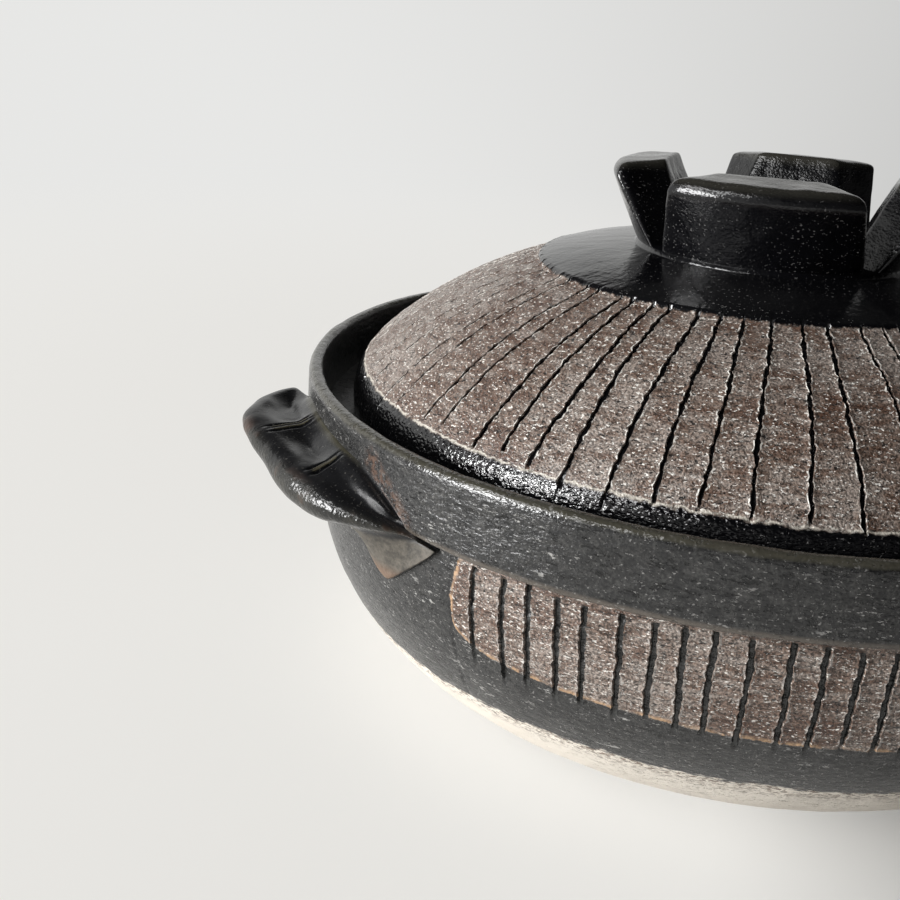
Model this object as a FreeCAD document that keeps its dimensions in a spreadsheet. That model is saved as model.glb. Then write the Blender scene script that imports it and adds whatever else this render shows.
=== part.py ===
import FreeCAD, Part
import math
import os
import Sketcher

# A lidded clay pot for the stove: a wide bowl under a tall collar, two ear handles luted to the
# collar, and a domed lid whose ring knob is cut into lugs. Z is up, the base stands on z = 0
# and the ears lie on the X axis.

doc = FreeCAD.newDocument("clay_pot")

# Driving sizes in millimetres, angles in degrees.
driving_sizes = [
    # bowl
    ("rim_radius", 130.0),          # outside of the collar
    ("rim_height", 87.0),           # ground to the top of the rim
    ("rim_lip", 4.0),               # width of the rim's top
    ("rim_round", 1.4),             # rounding of the rim's two edges
    ("collar_height", 19.0),
    ("collar_overhang", 3.0),       # collar stands proud of the wall
    ("collar_flare", 1.5),          # collar's inside narrows towards the ledge
    ("collar_round", 1.0),
    ("wall_draft", 7.0),
    ("wall_thickness", 10.0),
    ("floor_thickness", 9.0),
    ("bowl_curve", 54.0),           # outside curve from the base into the wall
    ("ledge_depth", 14.0),          # rim's top down to the ledge that carries the lid
    ("ledge_thickness", 9.0),
    ("ledge_bearing", 8.0),         # how far the lid reaches over the ledge
    ("base_recess_radius", 56.0),
    ("base_recess_depth", 1.5),
    # ears
    ("ear_reach", 22.0),            # beyond the collar
    ("ear_half_span", 27.0),
    ("ear_top_drop", 3.5),          # rim's top down to the ear's top at the collar
    ("ear_dish", 4.0),              # ear's lip lies this much under its top at the collar
    ("ear_lip", 11.5),              # thickness of the lip in the middle
    ("ear_droop", 15.5),            # fall of the ear's top from its middle to its ends
    ("ear_under", 1.5),             # collar's lower edge down to the ear's underside
    ("ear_tail", 15.0),             # the tails reach this much lower than the underside
    ("ear_tuck", 1.4),              # the tips lie this much inside the collar's face
    ("ear_root", 8.0),              # stock inside the wall, trimmed to fit it
    # lid
    ("lid_play", 8.0),              # between the lid's rim and the collar
    ("lid_seat", 7.5),              # width of the ring that the lid stands on
    ("lid_rim_height", 11.0),       # straight part of the lid's side
    ("dome_inset", 2.5),            # dome's edge inside the lid's rim
    ("dome_edge_rise", 14.5),       # ledge to the dome's edge
    ("dome_bend", 137.6),           # radius of the dome's arc
    ("dome_round", 2.0),
    ("patch_radius", 65.0),         # raised middle of the dome
    ("patch_rise", 44.3),           # ledge to the dome at the raised middle's edge
    ("patch_step", 1.2),
    ("knob_seat_radius", 38.5),     # flat disc that carries the lugs
    ("knob_seat_rise", 51.7),       # ledge to the flat disc
    ("knob_seat_step", 1.0),
    ("lid_crown", 7.5),             # thickness of the lid under the disc
    ("vent_radius", 5.0),
    ("vent_distance", 56.0),        # vent's centre from the axis
    ("vent_angle", 57.0),
    # lugs of the knob
    ("lug_angle", 54.5),            # first lug's direction, the others follow by quarter turns
    ("lug_base_radius", 37.0),
    ("lug_top_radius", 47.0),
    ("lug_outer_height", 17.0),     # disc to the bevel on the outside
    ("lug_height", 22.2),           # disc to the top edge on the inside
    ("lug_bevel", 1.6),
    ("lug_inner_base", 27.0),       # flat inner face, from the axis
    ("lug_inner_top", 32.5),
    ("notch_base", 1.3),            # half widths of the notches
    ("notch_top", 12.3),
]

sheet = doc.addObject("Spreadsheet::Sheet", "Sizes")
for row, (alias, value) in enumerate(driving_sizes, start=1):
    sheet.set(f"A{row}", alias)
    sheet.set(f"B{row}", str(value))
    sheet.setAlias(f"B{row}", alias)
doc.recompute()

FULL_TURN = 360.0
LUG_COUNT = 4
LUG_STEP = FULL_TURN / LUG_COUNT
SLACK = 1.0                         # cutters run past the stock, and curves leave a flat, by this much

# Shape of the ears along their span, where 0 is the middle and 1 an end.
EAR_STATIONS = (-1.0, -0.9, -0.7, -0.4, 0.0, 0.4, 0.7, 0.9, 1.0)
EAR_TAPER = 1.3                     # power of the reach's fall towards the ends
EAR_FALL = 1.8                      # power of the top's fall towards the ends
LIP_LOSS = 0.86                     # share of the lip's thickness that the ends lose
LIP_BULGE = 0.35                    # depth of the lip's round as a share of its thickness
LIP_BEND = (0.25 + LIP_BULGE ** 2) / (2 * LIP_BULGE)
TAIL_STATION = 0.7                  # where the tails reach lowest


def number(text):
    """Value of an expression over the sheet's sizes."""
    return float(sheet.evalExpression(text))


# Sizes that follow from the driving ones, as expressions.
wall_top = "(Sizes.rim_radius - Sizes.collar_overhang)"
collar_low = "(Sizes.rim_height - Sizes.collar_height)"
base_corner = f"({wall_top} - {collar_low} * tan(Sizes.wall_draft))"
ledge = "(Sizes.rim_height - Sizes.ledge_depth)"
ledge_low = f"({ledge} - Sizes.ledge_thickness)"
collar_inside = "(Sizes.rim_radius - Sizes.rim_lip - Sizes.collar_flare)"
lid_rim = f"({collar_inside} - Sizes.lid_play)"
mouth = f"({lid_rim} - Sizes.ledge_bearing)"
wall_across = "(Sizes.wall_thickness / cos(Sizes.wall_draft))"
inside_top = f"({wall_top} - {wall_across} - ({collar_low} - {ledge_low} + Sizes.wall_thickness)"
inside_top += " * tan(Sizes.wall_draft))"
inside_low = f"({base_corner} - {wall_across} + Sizes.floor_thickness * tan(Sizes.wall_draft))"
knob_seat = f"({ledge} + Sizes.knob_seat_rise)"

# The bowl's two curves are no larger than the flats that they join leave room for.
recess_edge = "(Sizes.base_recess_radius + Sizes.base_recess_depth)"
curve_run = "tan((90 - Sizes.wall_draft) / 2)"      # flat taken up by each millimetre of radius
base_room = f"({base_corner} - {recess_edge} - {SLACK})"
outer_room = f"({collar_low} - {SLACK})"
inner_room = f"({ledge_low} - Sizes.wall_thickness - Sizes.floor_thickness - {SLACK})"
outside_curve = f"min(Sizes.bowl_curve; {base_room} / {curve_run}; {outer_room} / {curve_run})"
inside_curve = f"min({outside_curve} - Sizes.wall_thickness; {inner_room} / {curve_run})"


def origin_plane(body, role):
    return next(item for item in body.Origin.OriginFeatures if item.Role == role)


def arc_between(start, end, radius, centre_side):
    """Arc from start to end, its centre on the left or right of the way, and its point numbers."""
    chord = end - start
    side = FreeCAD.Vector(chord.y, -chord.x, 0).normalize()
    if centre_side == "left":
        side = -side
    centre = (start + end) * 0.5 + side * math.sqrt(radius ** 2 - (chord.Length / 2) ** 2)
    start_angle = math.atan2(start.y - centre.y, start.x - centre.x)
    end_angle = math.atan2(end.y - centre.y, end.x - centre.x)
    circle = Part.Circle(centre, FreeCAD.Vector(0, 0, 1), radius)
    if centre_side == "left":
        return Part.ArcOfCircle(circle, start_angle, end_angle), (1, 2)
    return Part.ArcOfCircle(circle, end_angle, start_angle), (2, 1)


def outline(body, name, corners, plane="XZ_Plane"):
    """Closed sketch through corners (x, y), with a radius and a side where an arc leads on."""
    sketch = body.newObject("Sketcher::SketchObject", name)
    sketch.AttachmentSupport = (origin_plane(body, plane), [""])
    sketch.MapMode = "FlatFace"
    places = [FreeCAD.Vector(number(corner[0]), number(corner[1]), 0) for corner in corners]
    ends = []
    for index, corner in enumerate(corners):
        start = places[index]
        end = places[(index + 1) % len(places)]
        if len(corner) > 2:
            curve, points = arc_between(start, end, number(corner[2]), corner[3])
        else:
            curve = Part.LineSegment(start, end)
            points = (1, 2)
        sketch.addGeometry(curve, False)
        ends.append(points)
    for index, (x_text, y_text, *bend) in enumerate(corners):
        before = index - 1 if index else len(corners) - 1
        sketch.addConstraint(Sketcher.Constraint(
            "Coincident", before, ends[before][1], index, ends[index][0]))
        for kind, text, axis in (("DistanceX", x_text, -2), ("DistanceY", y_text, -1)):
            if text == "0":
                sketch.addConstraint(Sketcher.Constraint("PointOnObject", index, ends[index][0], axis))
            else:
                bind(sketch, (kind, -1, 1, index, ends[index][0]), text)
        if bend:
            bind(sketch, ("Radius", index), bend[0])
    return sketch


def bind(sketch, terms, text):
    place = sketch.addConstraint(Sketcher.Constraint(*terms, number(text)))
    sketch.setExpression(f"Constraints[{place}]", text)


def new_body(name):
    body = doc.addObject("PartDesign::Body", name)
    body.Label = name
    return body


def revolve(body, name, sketch, kind="PartDesign::Revolution", angle=FULL_TURN):
    feature = body.newObject(kind, name)
    feature.Profile = sketch
    feature.ReferenceAxis = (sketch, ["V_Axis"])
    feature.Angle = angle
    feature.Midplane = angle < FULL_TURN
    sketch.Visibility = False
    doc.recompute()
    return feature


def pocket_through(body, name, sketch, before, length_text):
    """Cuts the sketch through the body on both sides of its plane."""
    feature = body.newObject("PartDesign::Pocket", name)
    feature.Profile = sketch
    feature.SideType = "Symmetric"
    feature.setExpression("Length", length_text)
    doc.recompute()
    must_shrink(before, feature)
    return feature


def must_shrink(before, after):
    if not after.Shape.Volume < before.Shape.Volume:
        raise RuntimeError(after.Label + " cuts nothing")


def ring_edges(shape, radius_text, height_text):
    """Names of the whole round edges of one radius at one height."""
    radius = number(radius_text)
    height = number(height_text)
    names = []
    for index, edge in enumerate(shape.Edges, start=1):
        if not isinstance(edge.Curve, Part.Circle):
            continue
        circle = edge.Curve
        if math.isclose(circle.Radius, radius, abs_tol=1e-4) and math.isclose(
                circle.Center.z, height, abs_tol=1e-4):
            names.append(f"Edge{index}")
    if not names:
        raise RuntimeError(f"no round edge at {radius_text}, {height_text}")
    return names


def round_rings(body, name, base, radius_text, rings):
    """Fillets the round edges given as (radius, height)."""
    names = []
    for ring in rings:
        names += ring_edges(base.Shape, *ring)
    feature = body.newObject("PartDesign::Fillet", name)
    feature.Base = (base, names)
    feature.setExpression("Radius", radius_text)
    doc.recompute()
    return feature


def make_bowl():
    """Bowl, collar and the inside ledge, turned as one."""
    body = new_body("pot_bowl")
    section = outline(body, "BowlSection", [
        ("0", "Sizes.base_recess_depth"),
        ("Sizes.base_recess_radius", "Sizes.base_recess_depth"),
        (recess_edge, "0"),
        (base_corner, "0"),
        (wall_top, collar_low),
        ("Sizes.rim_radius", collar_low),
        ("Sizes.rim_radius", "Sizes.rim_height"),
        ("Sizes.rim_radius - Sizes.rim_lip", "Sizes.rim_height"),
        (collar_inside, ledge),
        (mouth, ledge),
        (mouth, ledge_low),
        (inside_top, f"{ledge_low} - Sizes.wall_thickness"),
        (inside_low, "Sizes.floor_thickness"),
        ("0", "Sizes.floor_thickness"),
    ])
    turned = revolve(body, "BowlTurned", section)
    outside = round_rings(body, "BowlCurve", turned, outside_curve, [(base_corner, "0")])
    inside = round_rings(body, "BowlInside", outside, inside_curve,
                         [(inside_low, "Sizes.floor_thickness")])
    rim = round_rings(body, "RimRound", inside, "Sizes.rim_round", [
        ("Sizes.rim_radius", "Sizes.rim_height"),
        ("Sizes.rim_radius - Sizes.rim_lip", "Sizes.rim_height"),
    ])
    round_rings(body, "CollarRound", rim, "Sizes.collar_round", [
        ("Sizes.rim_radius", collar_low),
        (mouth, ledge),
    ])
    return body


def tail_depth(share):
    """Share of the tail's depth, none in the middle and at the ends."""
    if share < TAIL_STATION:
        return math.sin(math.pi / 2 * share / TAIL_STATION) ** 2
    return (1 - share) / (1 - TAIL_STATION)


def ear_section(body, station):
    """One upright section through the ear, at a station from -1 to 1 along its span."""
    share = abs(station)
    reach = f"Sizes.ear_reach * {(1 - share ** 2) ** EAR_TAPER:.4f} - Sizes.ear_tuck * {share ** 4:.4f}"
    top = f"Sizes.rim_height - Sizes.ear_top_drop - Sizes.ear_droop * {share ** EAR_FALL:.4f}"
    lip_top = f"{top} - Sizes.ear_dish * {1 - share ** 2:.4f}"
    thickness = f"Sizes.ear_lip * {1 - LIP_LOSS * share ** 3:.4f}"
    lip_corner = f"Sizes.rim_radius + {reach} - {thickness} * {LIP_BULGE}"
    wall_low = f"{collar_low} - Sizes.ear_under - Sizes.ear_tail * {tail_depth(share):.4f}"
    inner = f"{wall_top} - Sizes.ear_root"
    sketch = outline(body, "EarSection", [
        (inner, top),
        (lip_corner, lip_top, f"{thickness} * {LIP_BEND:.4f}", "right"),
        (lip_corner, f"{lip_top} - {thickness}"),
        (inner, wall_low),
    ])
    sketch.AttachmentOffset = FreeCAD.Placement(
        FreeCAD.Vector(0, 0, 0), FreeCAD.Rotation(FreeCAD.Vector(0, 1, 0), station))
    sketch.setExpression("AttachmentOffset.Rotation.Angle", f"Sizes.ear_half_span * {station}")
    return sketch


def make_ear(name, turn):
    """Ear handle, lofted along the collar and trimmed to the wall that it is luted to."""
    body = new_body(name)
    sections = [ear_section(body, station) for station in EAR_STATIONS]
    doc.recompute()
    loft = body.newObject("PartDesign::AdditiveLoft", "EarLoft")
    loft.Profile = sections[0]
    loft.Sections = sections[1:]
    doc.recompute()
    wall = outline(body, "WallTrim", [
        ("0", "0"),
        (base_corner, "0"),
        (wall_top, collar_low),
        ("Sizes.rim_radius", collar_low),
        ("Sizes.rim_radius", "Sizes.rim_height"),
        ("0", "Sizes.rim_height"),
    ])
    trim = revolve(body, "EarTrim", wall, "PartDesign::Groove")
    must_shrink(loft, trim)
    body.Placement = FreeCAD.Placement(
        FreeCAD.Vector(0, 0, 0), FreeCAD.Rotation(FreeCAD.Vector(0, 0, 1), turn))
    return body


def make_lid():
    """Domed lid that stands on the ledge inside the collar."""
    body = new_body("lid_dome")
    dome_edge = f"{lid_rim} - Sizes.dome_inset"
    seat_inside = f"{lid_rim} - Sizes.lid_seat"
    section = outline(body, "LidSection", [
        ("0", knob_seat),
        ("Sizes.knob_seat_radius", knob_seat),
        ("Sizes.knob_seat_radius", f"{knob_seat} - Sizes.knob_seat_step", "Sizes.dome_bend", "right"),
        ("Sizes.patch_radius", f"{ledge} + Sizes.patch_rise + Sizes.patch_step"),
        ("Sizes.patch_radius", f"{ledge} + Sizes.patch_rise", "Sizes.dome_bend", "right"),
        (dome_edge, f"{ledge} + Sizes.dome_edge_rise"),
        (lid_rim, f"{ledge} + Sizes.lid_rim_height"),
        (lid_rim, ledge),
        (seat_inside, ledge, "Sizes.dome_bend", "left"),
        ("Sizes.knob_seat_radius", f"{knob_seat} - Sizes.knob_seat_step - Sizes.lid_crown"),
        ("0", f"{knob_seat} - Sizes.knob_seat_step - Sizes.lid_crown"),
    ])
    turned = revolve(body, "LidTurned", section)
    eased = round_rings(body, "LidRound", turned, "Sizes.dome_round",
                        [(lid_rim, f"{ledge} + Sizes.lid_rim_height")])
    vent = body.newObject("Sketcher::SketchObject", "VentSketch")
    vent.AttachmentSupport = (origin_plane(body, "XY_Plane"), [""])
    vent.MapMode = "FlatFace"
    along = "Sizes.vent_distance * cos(Sizes.vent_angle)"
    across = "Sizes.vent_distance * sin(Sizes.vent_angle)"
    centre = FreeCAD.Vector(number(along), number(across), 0)
    vent.addGeometry(Part.Circle(centre, FreeCAD.Vector(0, 0, 1), number("Sizes.vent_radius")), False)
    bind(vent, ("DistanceX", -1, 1, 0, 3), along)
    bind(vent, ("DistanceY", -1, 1, 0, 3), across)
    bind(vent, ("Radius", 0), "Sizes.vent_radius")
    pocket_through(body, "Vent", vent, eased, f"2 * {knob_seat}")
    return body


def make_lug(name, turn):
    """One lug of the split knob: flared outside, flat inside, a sloped notch wall on each end."""
    body = new_body(name)
    top = f"{knob_seat} + Sizes.lug_height"
    outer = f"{knob_seat} + Sizes.lug_outer_height"
    section = outline(body, "LugSection", [
        ("0", knob_seat),
        ("Sizes.lug_base_radius", knob_seat),
        ("Sizes.lug_top_radius", outer),
        ("Sizes.lug_top_radius - Sizes.lug_bevel", f"{outer} + Sizes.lug_bevel"),
        ("Sizes.lug_inner_top", top),
        ("0", top),
    ])
    turned = revolve(body, "LugTurned", section, angle=LUG_STEP)
    width = "4 * Sizes.lug_top_radius"
    over = "Sizes.lug_inner_top - Sizes.lug_inner_base"
    inner = outline(body, "InnerFace", [
        (f"Sizes.lug_inner_base - ({over}) * {SLACK} / Sizes.lug_height", f"{knob_seat} - {SLACK}"),
        (f"Sizes.lug_inner_top + ({over}) * {SLACK} / Sizes.lug_height", f"{top} + {SLACK}"),
        ("-Sizes.lug_top_radius", f"{top} + {SLACK}"),
        ("-Sizes.lug_top_radius", f"{knob_seat} - {SLACK}"),
    ])
    last = pocket_through(body, "InnerCut", inner, turned, width)
    for side in (-0.5, 0.5):
        notch = outline(body, "Notch", [
            ("-Sizes.notch_base", f"{knob_seat} - {SLACK}"),
            ("Sizes.notch_base", f"{knob_seat} - {SLACK}"),
            ("Sizes.notch_top", f"{top} + {SLACK}"),
            ("-Sizes.notch_top", f"{top} + {SLACK}"),
        ], plane="YZ_Plane")
        notch.AttachmentOffset = FreeCAD.Placement(
            FreeCAD.Vector(0, 0, 0), FreeCAD.Rotation(FreeCAD.Vector(0, 1, 0), side * LUG_STEP))
        last = pocket_through(body, "NotchCut", notch, last, width)
    body.Placement = FreeCAD.Placement(
        FreeCAD.Vector(0, 0, 0), FreeCAD.Rotation(FreeCAD.Vector(0, 0, 1), turn))
    return body


pieces = [make_bowl()]
pieces.append(make_ear("ear_handle_right", 0.0))
pieces.append(make_ear("ear_handle_left", FULL_TURN / 2))
pieces.append(make_lid())
for index in range(LUG_COUNT):
    pieces.append(make_lug(f"knob_lug_{index + 1}", number("Sizes.lug_angle") + LUG_STEP * index))
doc.recompute()

for item in doc.Objects:
    if "Invalid" in item.State or "Error" in item.State:
        raise RuntimeError(f"{item.Label} failed: {item.State}")
for piece in pieces:
    if piece.Shape.isNull() or not piece.Shape.isValid() or len(piece.Shape.Solids) != 1:
        raise RuntimeError(f"{piece.Label} is not one valid solid")

os.makedirs("parts", exist_ok=True)
for piece in pieces:
    piece.Shape.exportStep(f"parts/{piece.Label}.step")
    print(f"{piece.Label}: {piece.Shape.Volume / 1000:.1f} cm3")
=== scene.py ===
import math
import bpy
import numpy as np
from mathutils import Matrix, Vector


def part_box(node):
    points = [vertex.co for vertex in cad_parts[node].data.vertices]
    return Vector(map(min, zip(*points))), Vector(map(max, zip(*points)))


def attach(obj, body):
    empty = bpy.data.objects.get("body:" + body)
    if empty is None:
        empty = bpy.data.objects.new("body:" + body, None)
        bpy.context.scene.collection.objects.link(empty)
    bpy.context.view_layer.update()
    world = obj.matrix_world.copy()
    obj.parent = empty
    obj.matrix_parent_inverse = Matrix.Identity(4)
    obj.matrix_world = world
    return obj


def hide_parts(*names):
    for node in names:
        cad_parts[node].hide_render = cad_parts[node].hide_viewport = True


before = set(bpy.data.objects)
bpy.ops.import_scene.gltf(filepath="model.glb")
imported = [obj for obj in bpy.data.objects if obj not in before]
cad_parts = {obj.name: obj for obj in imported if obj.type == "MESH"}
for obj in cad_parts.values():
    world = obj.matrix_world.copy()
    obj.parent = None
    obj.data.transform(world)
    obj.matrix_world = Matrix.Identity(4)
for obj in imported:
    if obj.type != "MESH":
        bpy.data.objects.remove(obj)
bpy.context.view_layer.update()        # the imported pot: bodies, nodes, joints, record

mm = 0.001
weldGap = 0.01 * mm          # points closer than this become one
print("frame loaded:", ", ".join(sorted(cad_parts)))


# small helpers for modelling

def clearSelection():
    if bpy.context.object and bpy.context.object.mode != "OBJECT":
        bpy.ops.object.mode_set(mode="OBJECT")
    bpy.ops.object.select_all(action="DESELECT")


def pick(piece):
    clearSelection()
    piece.select_set(True)
    bpy.context.view_layer.objects.active = piece


def getPoints(piece):
    flat = np.empty(len(piece.data.vertices) * 3)
    piece.data.vertices.foreach_get("co", flat)
    return flat.reshape(-1, 3) / mm


def setPoints(piece, points):
    piece.data.vertices.foreach_set("co", (points * mm).ravel())
    piece.data.update()


def getNormals(piece):
    flat = np.empty(len(piece.data.vertices) * 3)
    piece.data.vertices.foreach_get("normal", flat)
    return flat.reshape(-1, 3)


def markPoints(piece, name, values):
    layer = piece.data.attributes.new(name, "FLOAT", "POINT")
    layer.data.foreach_set("value", np.asarray(values, np.float32))


def smoothStep(low, high, value):
    share = np.clip((value - low) / (high - low), 0, 1)
    return share * share * (3 - 2 * share)


def drawnLine(marks, at, soft=1.0):
    # height or width drawn through a few marks, with the corners softened
    places, values = np.array(marks).T
    return np.mean([np.interp(at + soft * step, places, values) for step in np.linspace(-1, 1, 9)], 0)


def closeMesh(piece):
    pick(piece)
    bpy.ops.object.mode_set(mode="EDIT")
    bpy.ops.mesh.select_all(action="SELECT")
    bpy.ops.mesh.remove_doubles(threshold=weldGap)
    bpy.ops.mesh.normals_make_consistent(inside=False)
    bpy.ops.object.mode_set(mode="OBJECT")


def applyModifier(piece, kind, **settings):
    pick(piece)
    modifier = piece.modifiers.new(kind.lower(), kind)
    for key, value in settings.items():
        setattr(modifier, key, value)
    bpy.ops.object.modifier_apply(modifier=modifier.name)


def throwPiece(name, outline, turns):
    # a profile drawn point by point, then turned round the axis as on the wheel
    clearSelection()
    bpy.ops.mesh.primitive_plane_add(size=mm)
    piece = bpy.context.object
    piece.name = name
    corners = [Vector((r, 0, z)) * mm for r, z in outline]
    bpy.ops.object.mode_set(mode="EDIT")
    bpy.ops.mesh.select_all(action="SELECT")
    bpy.ops.mesh.merge(type="CENTER")
    bpy.ops.transform.translate(value=corners[0])
    for here, there in zip(corners, corners[1:]):
        bpy.ops.mesh.extrude_region_move(TRANSFORM_OT_translate={"value": there - here})
    bpy.ops.object.mode_set(mode="OBJECT")
    applyModifier(piece, "SCREW", steps=turns, render_steps=turns, use_merge_vertices=True,
                  merge_threshold=0.001 * mm)
    closeMesh(piece)
    return piece


def handMade(piece, size, amount):
    # slow lumps that a hand and a rib leave in the clay
    lumps = bpy.data.textures.new(piece.name + "Lumps", "CLOUDS")
    lumps.noise_scale = size * mm
    lumps.noise_depth = 2
    applyModifier(piece, "DISPLACE", texture=lumps, texture_coords="LOCAL",
                  strength=amount * mm, mid_level=0.5)


def smoothShade(piece, degrees):
    pick(piece)
    bpy.ops.object.shade_smooth_by_angle(angle=math.radians(degrees))


# wandering of carved lines: each line gets its own set of waves
class Wander:
    def __init__(self, seed, lines, waves, amounts):
        self.waves = np.array(waves)
        self.amounts = np.array(amounts)
        self.phase = np.random.default_rng(seed).uniform(0, math.tau, (lines, len(waves)))

    def at(self, line, along):
        swing = np.sin(math.tau * along[:, None] / self.waves + self.phase[line])
        return (swing * self.amounts).sum(1)


# bowl
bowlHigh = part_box("pot_bowl")[1]
bowl = {
    "rimRadius": bowlHigh.x / mm,
    "rimHeight": bowlHigh.z / mm,
    "rimLip": 4.0,
    "rimRound": 1.4,
    # worn outer edge: in, down
    "rimWear": ((0, 1.7), (0.1, 1.35), (0.45, 0.7), (0.8, 0.3), (1.3, 0.05), (1.8, 0)),
    "collarHeight": 19.0,
    "collarOverhang": 3.0,
    "collarRound": 1.3,
    "collarInside": 124.5,
    "ledgeDepth": 14.0,
    "ledgeLow": 64.0,
    "insideDrop": 4.0,           # from the ledge's underside to the inside wall
    "mouth": 108.5,
    "footFlat": 66.0,
    "footRadius": 78.0,
    "fineBelow": 36.0,           # outline points lie closer together under this height
    "bellyPowers": (1.19, 0.80),
    "recessRadius": 56.0,
    "recessDepth": 1.5,
    "insideRadius": 112.0,
    "insideFoot": 64.0,
    "floor": 9.0,
    "panelHalf": 61.4,           # carved panels, degrees each side of front and back
    "panelLow": 39.2,
    "panelCorner": 13.5,         # how far the panel's ends are rounded up
    # from line to line in degrees
    "lineSteps": (2.9, 3.8, 3.0, 3.3, 2.8, 3.7, 3.2, 2.9, 2.7, 3.4, 3.7, 3.0, 3.2, 3.1),
    "linesPerPanel": 39,
    "lineHalf": 0.56,            # half width of a carved line
    "lineDepth": 0.9,
    "lineTop": 67.2,
    "driftFrom": (25, 34),       # lines wander above the foot only
    "scratch": 0.15,             # each panel's edge line has this share of the depth
    "plainColumns": 24,
}
linePlaces = (-2.4, -1.5, -0.75, 0.0, 0.75, 1.5, 2.4)      # columns across a line, in half widths
lineSink = (0.0, -0.15, 0.9, 1.0, 0.9, -0.15, 0.0)         # how deep each lies, with a burr at both edges


def bellyRadius(z):
    wallTop = bowl["rimRadius"] - bowl["collarOverhang"]
    height = bowl["rimHeight"] - bowl["collarHeight"]
    out, up = bowl["bellyPowers"]
    lean = np.arcsin(np.clip(1 - z / height, 0, 1) ** (1 / up))
    return bowl["footRadius"] + (wallTop - bowl["footRadius"]) * np.cos(lean) ** out


def insideRadius(z):
    depth = bowl["ledgeLow"] - bowl["insideDrop"] - bowl["floor"]
    lean = np.arcsin(np.clip(1 - (z - bowl["floor"]) / depth, 0, 1) ** 1.25)
    return bowl["insideFoot"] + (bowl["insideRadius"] - bowl["insideFoot"]) * np.cos(lean)


def roundCorner(centre, radius, start, end, count):
    turns = [math.radians(start + (end - start) * i / count) for i in range(count + 1)]
    return [(centre[0] + radius * math.cos(t), centre[1] + radius * math.sin(t)) for t in turns]


def straight(start, end, count):
    # points after start, up to end
    steps = [i / count for i in range(1, count + 1)]
    return [(start[0] + (end[0] - start[0]) * s, start[1] + (end[1] - start[1]) * s) for s in steps]


def bowlOutline():
    rim, top = bowl["rimRadius"], bowl["rimHeight"]
    collarLow = top - bowl["collarHeight"]
    ledge = top - bowl["ledgeDepth"]
    recess, deep = bowl["recessRadius"], bowl["recessDepth"]
    ease, lip = bowl["rimRound"], bowl["rimLip"]
    edge, fine = bowl["collarRound"], bowl["fineBelow"]
    insideTop = bowl["ledgeLow"] - bowl["insideDrop"]
    points = [(0, deep), (20, deep), (recess, deep), (recess + 1.5, 0), (bowl["footFlat"], 0)]
    points += [(float(bellyRadius(z)), z) for z in fine * np.linspace(0, 1, 23) ** 1.9]
    points += [(float(bellyRadius(z)), z) for z in np.linspace(fine, collarLow - 0.3, 44)[1:]]
    points += roundCorner((rim - edge, collarLow + edge), edge, -90, 0, 4)
    points += straight((rim, collarLow + edge), (rim, top - bowl["rimWear"][0][1]), 10)[:-1]
    points += [(rim - back, top - down) for back, down in bowl["rimWear"]]
    points += roundCorner((rim - lip + ease, top - ease), ease, 90, 180, 4)
    points += straight((rim - lip, top - ease), (bowl["collarInside"], ledge), 5)
    points += straight((bowl["collarInside"], ledge), (bowl["mouth"] + 1, ledge), 3)
    points += [(bowl["mouth"], ledge - 1), (bowl["mouth"], bowl["ledgeLow"])]
    points += [(float(insideRadius(z)), z) for z in np.linspace(insideTop, 14, 10)]
    points += [(float(insideRadius(z)), z) for z in (11.5, 10, 9.3, bowl["floor"])]
    points += [(30, bowl["floor"]), (0, bowl["floor"])]
    return points


def lineAngles(first, steps, count):
    return first + np.concatenate([[0], np.cumsum(np.resize(steps, count - 1))])


def bowlColumns():
    # (angle, line number or -1, place across the line, sink) for each column of the turned mesh
    half, count = bowl["panelHalf"], bowl["linesPerPanel"]
    toDegrees = math.degrees(bowl["lineHalf"] / (bowl["rimRadius"] - bowl["collarOverhang"]))
    edge = linePlaces[-1] * toDegrees
    columns = []
    for panel, middle in enumerate((90.0, 270.0)):
        lines = lineAngles(middle - half + 0.2, bowl["lineSteps"], count)
        for number, angle in enumerate(lines):
            for place, sink in zip(linePlaces, lineSink):
                columns.append((angle + place * toDegrees, panel * count + number, place, sink))
            following = lines[number + 1] if number + 1 < count else middle + half + 1
            start, end = angle + edge, following - edge
            columns += [(start + (end - start) * share, -1, 0, 0) for share in (1 / 3, 2 / 3)]
        last = columns[-1][0]
        step = (middle + 180 - half - last) / (bowl["plainColumns"] + 1)
        columns += [(last + step * (i + 1), -1, 0, 0) for i in range(bowl["plainColumns"])]
    return np.array(columns)


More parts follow.
